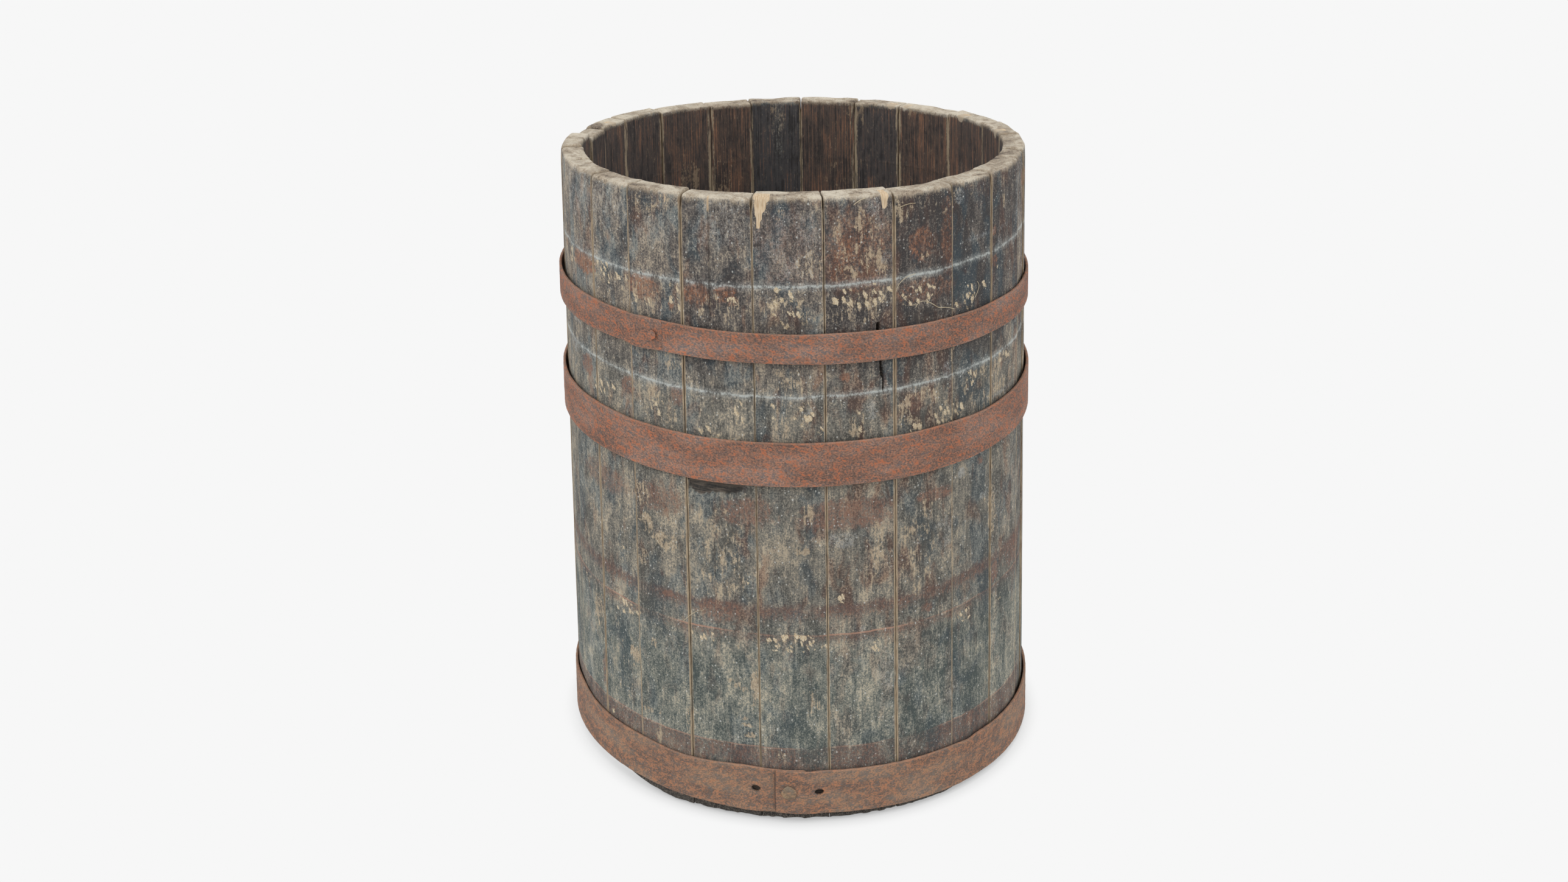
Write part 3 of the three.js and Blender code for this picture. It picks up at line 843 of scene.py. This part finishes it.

    # The foot is darker towards the floor, and fresh breaks are pale. Hollows, cracks and holes get
    # near-black painted shade, and damp patches get the same dark colour.
    # Darker towards the floor, over the lowest 8 to 15 millimetres of the staves.
    foot_darkening = (above_foot + (mottle - 0.5) * 12).ramp(15, 8)
    foot_wood = paint.mix((mottle + speck - 1).ramp(-0.1, 0.2), (44, 41, 39), (104, 98, 90))
    colour = paint.mix(foot_darkening, colour, foot_wood)
    fresh_wood = paint.mix(grain.ramp(0.35, 0.65), (184, 156, 122), (220, 202, 174))
    colour = paint.mix(fresh.ramp(0.35, 0.6), colour, fresh_wood)
    # The near-black colour of the dark marks: painted shade in hollows, cracks and holes, and the colour of
    # damp patches.
    ridge = paint.noise(own, (22, 9, 1.7), 3, 0.6).ramp(0.42, 0.62)
    hollow_shade_and_damp = paint.mix(ridge, (42, 38, 36), (90, 80, 71))
    colour = paint.mix((dark * (0.6 + mottle * 0.8)).ramp(0.25, 0.9) * 0.9, colour, hollow_shade_and_damp)

    # The inside is stained by wine, each stave differently.
    within = depth_part.ramp(0.9, 0.99) * (below_top + (mottle - 0.5) * 10).ramp(4, 8)
    inner_grain = paint.noise(own, (1.8, 9, 90), 5, 0.62)
    streak = (inner_grain - 0.5) * 4 + sway(grain=1.4, mottle=1, broad=1.5)
    stained = redder * 0.5 - bluer * 0.5 + (patch - 0.5) * 1.5
    lees = paint.mix((stained + streak * 0.3).ramp(-0.9, 0.9), (74, 74, 76), (88, 74, 66))
    lees = paint.mix((streak + stained * 0.3).ramp(0.1, 1) * 0.8, lees, (158, 114, 88))
    lees = paint.mix(bare * 0.6, lees, (168, 146, 120))
    lees = paint.mix((streak + (patch - 0.5) * 2.4).ramp(-0.05, -0.6) * 0.8, lees, (48, 44, 43))
    lees = paint.mix((grain + mottle - 1).ramp(0.14, 0.3) * 0.5, lees, (176, 158, 136))
    lees = paint.mix(dust * 0.3, lees, (140, 132, 122))
    lees = paint.mix((powder + (grain - 0.5) * bloom * 4).ramp(0.3, 1.6) * 0.5, lees, (150, 150, 142))
    inner_broken = paint.noise(own, (7, 9, 45), 3).ramp(0.36, 0.5)
    inner_edge = left.math("MINIMUM", right) * 0.9 + sway(grain=1.4, mottle=2, patch=1.5)
    lees = paint.mix(inner_edge.ramp(1.3, 0.7) * inner_broken * 0.85, lees, (176, 158, 132))
    colour = paint.mix(within, colour, lees)
    chipped = fresh.ramp(0.35, 0.6) * depth_part.ramp(0.5, 0.8)
    colour = paint.mix(chipped * 0.85, colour, (178, 164, 144))

    relief = grain * 0.3 + coarse_grain * 0.3 + mottle * 0.3 + speck * 0.1
    relief = relief + peck * 0.3 + chalk * 0.2 - bare * 0.15
    roughness = 0.72 + mottle * 0.2
    return paint.finish(colour, roughness, relief)


# ---- Fibres ----

# Dry fibres that stick to the wood: the angle and height of a few points, and the thickness.
FIBRES = [
    ([(298.4, 667), (299.2, 672), (300.6, 673), (302.5, 669), (305, 661), (307.2, 659), (309.4, 655)], 0.9),
    ([(293.4, 690), (294.0, 697), (295.6, 704), (298.4, 708)], 0.7),
    ([(283.4, 796), (284.2, 799), (285.1, 801.5), (286.2, 803)], 0.9),
    ([(294, 788), (295.6, 790), (297, 791), (298.4, 790.5)], 0.9),
    ([(241.8, 262), (243.4, 271), (245.2, 279), (247.4, 284)], 0.7),
    ([(316.6, 660), (317.8, 667), (318.2, 674), (317.6, 679)], 0.7),
]


def make_fibres(outer, taper, material):
    for number, (course, thickness) in enumerate(FIBRES):
        angle, height = np.array(course, float).T
        path = from_cone(angle, outer(0) - taper * height + 0.5 * thickness, height)
        curve = bpy.data.curves.new(f"fibre_{number + 1}", "CURVE")
        curve.dimensions = "3D"
        curve.bevel_depth = thickness / 2 * MM
        curve.bevel_resolution = 2
        curve.use_fill_caps = True
        line = curve.splines.new("BEZIER")
        line.bezier_points.add(len(path) - 1)
        for point, place in zip(line.bezier_points, path):
            point.co = place
            point.handle_left_type = "AUTO"
            point.handle_right_type = "AUTO"
        drawn = bpy.data.objects.new("drawn_fibre", curve)
        mesh = bpy.data.meshes.new_from_object(drawn)
        bpy.data.objects.remove(drawn)
        mesh.materials.clear()
        mesh.materials.append(material)
        fibre = bpy.data.objects.new(f"fibre_{number + 1}", mesh)
        bpy.context.scene.collection.objects.link(fibre)
        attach(fibre, "cask")


# ---- Hoops ----

# Empty nail holes: angle and height of the middle, and half the width and height, in millimetres.
NAIL_HOLES = {"bottom_hoop": [(259.2, 46, 5.6, 4.2), (273.8, 44, 5.8, 4.4)]}
# Bends in the edges: angle, spread in degrees, and how far the upper and the lower edge move.
BENDS = {
    "upper_hoop": [(205, 12, 0.8, -0.8), (233, 4, 0.8, -1.4), (262, 14, -0.8, 0.6), (318, 12, 0.6, 0.8)],
    "middle_hoop": [(212, 10, 1, 0.6), (246, 10, -0.8, -1.2), (284, 10, 0.8, 0.8), (322, 9, -0.8, 1)],
    "bottom_hoop": [(197, 9, 6, -1.5), (257, 5, 1.8, -1.8), (313.5, 2.6, -2.4, 0), (241, 8, -3.2, -1)],
}
RIVET_HOLE = 4.3
# How much of the thickness is gone at each strip's outer end.
WORN_ENDS = {"upper_hoop": 0.93, "middle_hoop": 0.5, "bottom_hoop": 0.1}


def mean_angle(angles):
    turns = np.radians(angles)
    return math.degrees(math.atan2(np.sin(turns).mean(), np.cos(turns).mean()))


def on_edge(turn):
    """What a plane's three numbers are multiplied by to give its height on a hoop, at a turn in radians."""
    return np.stack([np.ones_like(turn), np.cos(turn) * EDGE_RADIUS, np.sin(turn) * EDGE_RADIUS], axis=-1)


class Hoop:
    """What a hoop's CAD node says about its strip."""

    def __init__(self, name, taper):
        points = node_points(name)
        upright = points[:, 0] - LEAN * points[:, 2]
        self.shift = (upright.max() + upright.min()) / 2
        centred = points - [self.shift, 0, 0]
        angle, radius, height = on_cone(centred)
        self.taper = taper
        proud = radius + taper * height
        self.inner = proud.min()
        in_lap = proud > proud.max() - 0.3
        self.rivet_angle = mean_angle(on_cone(node_points(f"{name}_rivet"))[0])
        turns = turned_from(angle[in_lap], self.rivet_angle)
        self.winding = 1 if abs(turns.max()) < abs(turns.min()) else -1
        self.lap = turns.max() - turns.min()
        self.end = self.rivet_angle + (turns.max() if self.winding > 0 else turns.min())
        outside = (proud > self.inner + 2.9) & ~in_lap
        self.thickness = np.median(proud[outside]) - self.inner
        self.lap_outer = proud.max() - self.inner
        spread = np.stack([np.ones(len(points)), points[:, 0], points[:, 1]], axis=1)
        above = height - spread @ np.linalg.lstsq(spread, height, rcond=None)[0]
        top = above > above.max() * 0.85
        foot = above < above.min() * 0.85
        self.upper_plane = np.linalg.lstsq(spread[top], height[top], rcond=None)[0]
        self.lower_plane = np.linalg.lstsq(spread[foot], height[foot], rcond=None)[0]
        self.width = self.upper_plane[0] - self.lower_plane[0]

    def place(self, angle, part, proud):
        """Points in metres: part runs from 0 at the lower edge to 1 at the upper one."""
        turn = np.radians(angle)
        flat = on_edge(turn)
        low = flat @ self.lower_plane
        height = low + (flat @ self.upper_plane - low) * part
        points = from_cone(angle, self.inner + proud - self.taper * height, height)
        return points + [self.shift, 0, 0]


def touches(removed):
    """The grid points that any of the removed cells has as a corner."""
    padded = np.pad(removed, 1)
    near = np.zeros([n + 1 for n in removed.shape], bool)
    for i, j, k in np.ndindex(2, 2, 2):
        near |= padded[i : i + near.shape[0], j : j + near.shape[1], k : k + near.shape[2]]
    return near


def hoop_holes(name, hoop):
    """The nail and rivet holes: how far along and up each one is, and half its width and height."""
    holes = []
    for angle, height, half_wide, half_tall in NAIL_HOLES.get(name, []):
        along = ((hoop.winding * (angle - hoop.end)) % 360 + hoop.lap) * PER_DEGREE
        low = on_edge(math.radians(angle)) @ hoop.lower_plane
        holes.append((along, height - low, half_wide, half_tall))
    from_end = abs(hoop.end - hoop.rivet_angle)
    for turns in (hoop.lap - from_end, 360 + hoop.lap - from_end):
        holes.append((turns * PER_DEGREE, hoop.width / 2, RIVET_HOLE, RIVET_HOLE))
    return holes


def punched_grid(length, hoop, holes):
    """A strip's points and faces in its chart, and which of the points are on the rim of a hole."""
    columns = spaced(length, 2.7, 0.5)
    rows = spaced(hoop.width, 2.5, 0.4)
    for along, up, half_wide, half_tall in holes:
        columns = without_close([*columns, *(along + half_wide * np.linspace(-1.5, 1.5, 15))], 0.55)
        rows = without_close([*rows, *(up + half_tall * np.linspace(-1.4, 1.4, 11))], 0.55)
    layers = np.array([0, 0.28, 0.72, 1]) * hoop.thickness
    column_middles = (columns[1:] + columns[:-1]) / 2
    row_middles = (rows[1:] + rows[:-1]) / 2
    open_cells = np.zeros((len(column_middles), len(layers) - 1, len(row_middles)), bool)
    for along, up, half_wide, half_tall in holes:
        across_part = (column_middles[:, None] - along) / half_wide
        up_part = (row_middles[None, :] - up) / half_tall
        open_cells |= (across_part**2 + up_part**2 < 1)[:, None, :]
    chart, faces = grid_mesh(columns, layers, rows, ~open_cells)
    on_rim = touches(open_cells)
    rim_places = np.stack(np.meshgrid(columns, layers, rows, indexing="ij"), axis=-1)[on_rim]
    rim_keys = {tuple(key) for key in np.round(rim_places, 4)}
    is_rim = np.array([tuple(key) in rim_keys for key in np.round(chart, 4)])
    for along, up, half_wide, half_tall in holes:
        away = (chart[:, [0, 2]] - [along, up]) / [half_wide, half_tall]
        far = np.linalg.norm(away, axis=1)
        snap = is_rim & (far < 1.6) & (far > 0.01)
        chart[snap, 0] = along + away[snap, 0] / far[snap] * half_wide
        chart[snap, 2] = up + away[snap, 1] / far[snap] * half_tall
    return chart, faces, is_rim


def make_hoop(name, seed, taper, tint, material):
    hoop = Hoop(name, taper)
    length = (360 + hoop.lap) * PER_DEGREE
    chart, faces, is_rim = punched_grid(length, hoop, hoop_holes(name, hoop))
    size = np.array([length, hoop.thickness, hoop.width])
    shifted = chart + [seed * 50, 0, 0]
    frayed = 0.5 + 0.5 * noise(shifted, (7, 9, 7), seed)
    radius = np.stack([0.5 + 0.5 * frayed, 0.5 + 0.7 * frayed, 0.5 + 0.9 * frayed], axis=1)
    placed, outward = rounded(chart, size, radius)
    pits = 0.10 * noise(shifted, (2.6, 9, 2.6), seed + 1) + 0.14 * noise(shifted, (7, 9, 5), seed + 2)
    pits += 0.10 * noise(shifted, (40, 9, 16), seed + 3)
    placed += outward * (np.minimum(pits, 0.2) * ~is_rim)[:, None]

    # The corners of the ends are worn round.
    corner = 5
    to_edge = np.minimum(placed[:, 2], size[2] - placed[:, 2])
    cut = corner - np.sqrt(np.maximum(corner**2 - np.maximum(corner - to_edge, 0) ** 2, 0))
    placed[:, 0] -= cut * smooth(placed[:, 0], length - 14, length)
    placed[:, 0] += cut * smooth(placed[:, 0], 14, 0)

    # The two ends are thinned and lap over each other.
    turn = placed[:, 0] / PER_DEGREE
    thinned = (hoop.lap_outer - 0.4) / 2
    in_lap = np.maximum(smooth(turn, hoop.lap + 4, hoop.lap + 0.5), smooth(turn, 356, 359.5))
    thickness = hoop.thickness + (thinned - hoop.thickness) * in_lap
    near_end = smooth(placed[:, 0], length - 40, length)
    lift = (thinned + 0.4 - 0.35 * near_end) * smooth(turn, 356, 359.5)
    thickness *= 1 - WORN_ENDS[name] * near_end
    proud = lift + thickness - placed[:, 1] * thickness / hoop.thickness
    angle = hoop.end - hoop.winding * (360 + hoop.lap - turn)
    circle = np.stack([np.cos(np.radians(angle)), np.sin(np.radians(angle)), 0 * turn], axis=1)
    bulge = noise(circle * 9, 3, seed + 4)
    proud += 0.5 * np.maximum(bulge, 0)

    # Edges wander a little, and are bent in places.
    part = placed[:, 2] / size[2]
    flat = shifted * [1, 0, 0]
    wander = 0.5 * noise(flat, (55, 9, 9), seed + 5) + 0.18 * noise(shifted, (9, 9, 40), seed + 6)
    waist = noise(flat + [0, 0, 9], (22, 9, 9), seed + 7)
    move = wander + np.where(part > 0.5, 0.2, -0.2) * waist
    for at, spread, upper_move, lower_move in BENDS[name]:
        window = np.exp(-((turned_from(angle, at) / spread) ** 2))
        move += window * (lower_move + (upper_move - lower_move) * part)
    points = hoop.place(angle, part + move / size[2], proud)

    attributes = {
        "place": np.stack([placed[:, 0] + 37 * seed, placed[:, 1], placed[:, 2]], axis=1) * MM,
        "edges": np.stack([placed[:, 2], size[2] - placed[:, 2], length - placed[:, 0]], axis=1),
        "tint": np.tile(tint, (len(chart), 1)),
    }
    band = make_object(f"{name}_rusted", points, faces, attributes, material)
    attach(band, name)
    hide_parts(name)
    return hoop


RIVET_SIDES = 40
# How much of its height each head keeps.
RIVET_HEIGHTS = {"upper_hoop": 0.15, "middle_hoop": 0.8, "bottom_hoop": 0.75}


def make_rivet(name, hoop, seed, tint, material):
    """A hammered rivet: a shank through both layers and a lumpy low head, turned from its section."""
    points = node_points(f"{name}_rivet")
    middle = points.mean(axis=0)
    turn = math.radians(hoop.rivet_angle)
    out = np.array([math.cos(turn), math.sin(turn), 0])
    side = np.array([-math.sin(turn), math.cos(turn), 0])
    along = (points - middle) @ out / MM
    from_axis = points - middle - np.outer((points - middle) @ out, out)
    head = np.linalg.norm(from_axis, axis=1).max() / MM
    foot, tip = along.min(), along.max()
    stack = foot + hoop.lap_outer - 0.1
    dome = (tip - stack) * RIVET_HEIGHTS[name]
    tip = stack + dome
    section = [(0, foot), (3, foot), (5.6, foot + 0.1), (5.6, foot + 0.5), (4, foot + 1.8), (4, foot + 3.5)]
    section += [(4, stack), (head * 0.6, stack), (head * 0.97, stack + 0.1), (head, stack + 0.5)]
    for bend in np.linspace(0.12, 1, 12) * math.pi / 2:
        section.append((head * math.cos(bend), stack + 0.5 + (dome - 0.5) * math.sin(bend)))
    section[-1] = (0, tip)
    radius, up = np.array(section).T
    turns = np.arange(RIVET_SIDES) * 2 * math.pi / RIVET_SIDES
    ring, around = np.meshgrid(np.arange(len(section)), turns, indexing="ij")
    ring, around = ring.ravel(), around.ravel()
    flat = np.stack([radius[ring] * np.cos(around), up[ring], radius[ring] * np.sin(around)], axis=1)
    on_head = (up[ring] > stack - 0.01)[:, None]
    lumps = noise(flat, (5, 5, 5), seed) * 0.09 + noise(flat, (2.2, 2.2, 2.2), seed + 1) * 0.03
    flat = np.where(on_head, flat * (1 + lumps[:, None] * [1.6, 0.35, 1.6]), flat)
    world = middle + flat @ np.array([side, out, (0, 0, 1)]) * MM
    faces = []
    for level in range(len(section) - 1):
        for step in range(RIVET_SIDES):
            here = level * RIVET_SIDES + step
            beside = level * RIVET_SIDES + (step + 1) % RIVET_SIDES
            faces.append((here, beside, beside + RIVET_SIDES, here + RIVET_SIDES))
    mesh = bpy.data.meshes.new(name)
    mesh.from_pydata(world.tolist(), [], faces)
    work = bmesh.new()
    work.from_mesh(mesh)
    bmesh.ops.remove_doubles(work, verts=work.verts, dist=1e-6)
    bmesh.ops.recalc_face_normals(work, faces=work.faces)
    work.to_mesh(mesh)
    work.free()
    count = len(mesh.vertices)
    places = np.array([vertex.co for vertex in mesh.vertices])
    values = {
        "place": places - middle + [0, 0, seed * 0.3],
        "edges": np.full((count, 3), 9.0),
        "tint": np.tile(tint, (count, 1)),
    }
    piece = dressed(f"{name}_rivet_head", mesh, values, material)
    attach(piece, name)
    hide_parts(f"{name}_rivet")


# ---- Rust ----

# How yellow, how dark and how blue each hoop is beside the others.
HOOP_TINTS = {"upper_hoop": (0, 0, 0.1), "middle_hoop": (0, 0, -0.2), "bottom_hoop": (0.8, 0.2, 0.5)}


def rust_material():
    paint = Paint("rusted_iron")
    place = paint.attribute("place")
    along, depth, across = place.parts()
    low_edge, high_edge, end_edge = paint.attribute("edges").parts()
    yellower, darker, bluer = paint.attribute("tint").parts()
    slanted = paint.vector(along + across * 0.35, depth, across)

    cloud = paint.noise(place, (90, 40, 30), 2)
    patch = paint.noise(slanted, (11, 12, 7), 5, 0.7, 0.3)
    mottle = paint.noise(slanted, (3.2, 4, 2.4), 6, 0.76, 0.3)
    speck = paint.noise(place, (2.6, 2, 1.9), 4, 0.74)
    dabs = paint.noise(slanted, (3, 4, 1.6), 5, 0.74, 0.3)
    sway = swaying(cloud=cloud, patch=patch, mottle=mottle, speck=speck, dabs=dabs)

    patchy = yellower.math("MAXIMUM", 0) * 5 + 2.6
    light = sway(cloud=2.4, patch=patchy, mottle=5, speck=6) - darker * 0.4
    colour = paint.mix(light.ramp(-1, 0.1), (94, 75, 67), (138, 106, 90))
    colour = paint.mix(light.ramp(0, 1.1), colour, (184, 150, 130))
    orange = sway(patch=5.5, speck=4.6, mottle=4.6)
    colour = paint.mix(orange.ramp(0, 1.1) * 0.9, colour, (182, 104, 68))
    blue = sway(dabs=5, speck=-3, patch=-3.5, cloud=1.8) + bluer * 0.3
    colour = paint.mix(blue.ramp(0.1, 1) * 0.9, colour, (108, 105, 106))
    pale = (mottle * 0.5 + speck * 0.5).ramp(0.6, 0.68)
    colour = paint.mix(pale * 0.7, colour, (192, 168, 150))
    lichen = yellower * (0.3 + cloud.ramp(0.4, 0.6) * 0.4 + patch.ramp(0.45, 0.65) * 0.6)
    crust = paint.mix(speck.ramp(0.35, 0.6), (118, 98, 74), (158, 140, 110))
    colour = paint.mix(lichen * 0.5, colour, crust)
    edge = low_edge.math("MINIMUM", high_edge) + (mottle - 0.5) * 5
    colour = paint.mix(edge.ramp(1.8, 0) * 0.4, colour, (172, 136, 114))
    # A painted shadow on the last two millimetres of each strip's outer end, where it laps over the layer
    # under it; strongest on the bottom hoop.
    painted_end_shadow = end_edge.ramp(2.2, 0.8) * yellower.ramp(0.1, 0.5, 0.1, 0.8)
    colour = paint.mix(painted_end_shadow, colour, (74, 60, 54))
    relief = mottle * 0.7 + speck * 0.35 + patch * 0.5 + dabs * 0.3
    return paint.finish(colour, 0.78 + speck * 0.15, relief)


# ---- Bottom head ----


def board_material(name, dark, middle, pale):
    """Plain old wood whose grain runs along X, for the CAD's own boards and dowels."""
    paint = Paint(name)
    coordinates = paint.tree.nodes.new("ShaderNodeTexCoord")
    place = Field(paint.tree, coordinates.outputs["Object"])
    grain = paint.noise(place, (40, 1.6, 1.6), 4, 0.6)
    patch = paint.noise(place, (70, 30, 30), 4, 0.6, 0.5)
    mottle = paint.noise(place, (12, 5, 5), 4, 0.6, 0.5)
    light = swaying(grain=grain, patch=patch, mottle=mottle)(grain=1.4, patch=1.4, mottle=1.2)
    colour = paint.mix(light.ramp(-0.5, 0.05), dark, middle)
    colour = paint.mix(light.ramp(0.1, 0.6), colour, pale)
    relief = grain * 0.4 + mottle * 0.4
    return paint.finish(colour, 0.75 + mottle * 0.15, relief)


def finish_head():
    board = board_material("wine_stained_oak", (66, 57, 53), (100, 80, 70), (146, 122, 104))
    dowel = board_material("dowel_oak", (112, 88, 62), (150, 122, 88), (182, 156, 118))
    for name, node in nodes.items():
        if name.startswith("head_board"):
            node.data.materials[0] = board
        if name.startswith("head_dowel"):
            node.data.materials[0] = dowel


# ---- Floor ----


def make_floor():
    bpy.ops.mesh.primitive_plane_add(size=FLOOR_SIZE)
    floor = bpy.context.object
    floor.name = "floor"
    floor.location.z = -FLOOR_GAP
    material = bpy.data.materials.new("pale_floor")
    material.use_nodes = True
    tree = material.node_tree
    tree.nodes.remove(tree.nodes["Principled BSDF"])
    glow = tree.nodes.new("ShaderNodeEmission")
    shade = tree.nodes.new("ShaderNodeAmbientOcclusion")
    shade.inputs["Distance"].default_value = SHADOW_REACH
    shade.samples = 16
    contact = Field(tree, shade.outputs["AO"]).ramp(0.0, 0.85, SHADOW_DEEPEST, 1.0) * BACKGROUND
    put(tree, glow.inputs["Strength"], contact)
    tree.links.new(glow.outputs[0], tree.nodes["Material Output"].inputs["Surface"])
    floor.data.materials.append(material)


make_camera()
make_world()
make_sun("key", -55, 42, 1.5, 35)
make_sun("fill", 65, 35, 1.0, 50)
make_floor()
make_staves(stave_material())
_, _, outer_face, _, _ = measured_stave("stave_01")
wall_taper = (outer_face(0) - outer_face(WALL_TOP)) / WALL_TOP
fibre_wood = board_material("dry_fibre", (150, 134, 108), (190, 176, 150), (214, 204, 184))
make_fibres(outer_face, wall_taper, fibre_wood)
rust = rust_material()
for number, (hoop_name, hoop_tint) in enumerate(HOOP_TINTS.items()):
    measured = make_hoop(hoop_name, 3 * number + 2, wall_taper, hoop_tint, rust)
    make_rivet(hoop_name, measured, 3 * number + 2, np.array(hoop_tint) * [2.2, 1, 1], rust)
finish_head()
